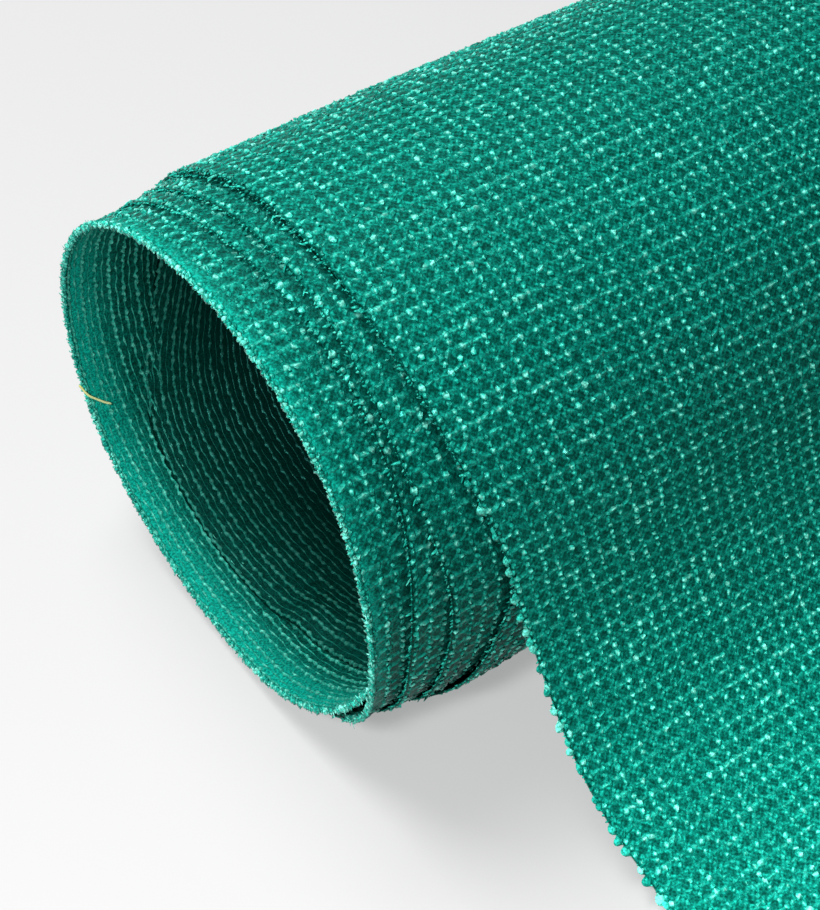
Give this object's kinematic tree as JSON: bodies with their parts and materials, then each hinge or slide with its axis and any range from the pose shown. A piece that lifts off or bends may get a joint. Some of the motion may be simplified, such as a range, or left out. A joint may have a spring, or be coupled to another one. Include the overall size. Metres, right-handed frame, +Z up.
{
  "type": "roll of shade cloth",
  "caption": "Short hollow roll of knitted shade netting, inner turns stepped out at one end, with the outer turn running out loose over the surface.",
  "frame": {"origin": "on the surface that the roll rests on, under the middle of the part's box", "axes": "+X along the roll from its stepped end to its recessed end, +Y from the loose end to the back, +Z up"},
  "size_m": [0.437, 0.2704, 0.1257],
  "materials": {
    "knitted_mesh": "glossy flat plastic yarn in teal green, knitted into a dense open mesh"
  },
  "bodies": {
    "root": {"shade_cloth_roll": "knitted_mesh"}
  },
  "joints": []
}
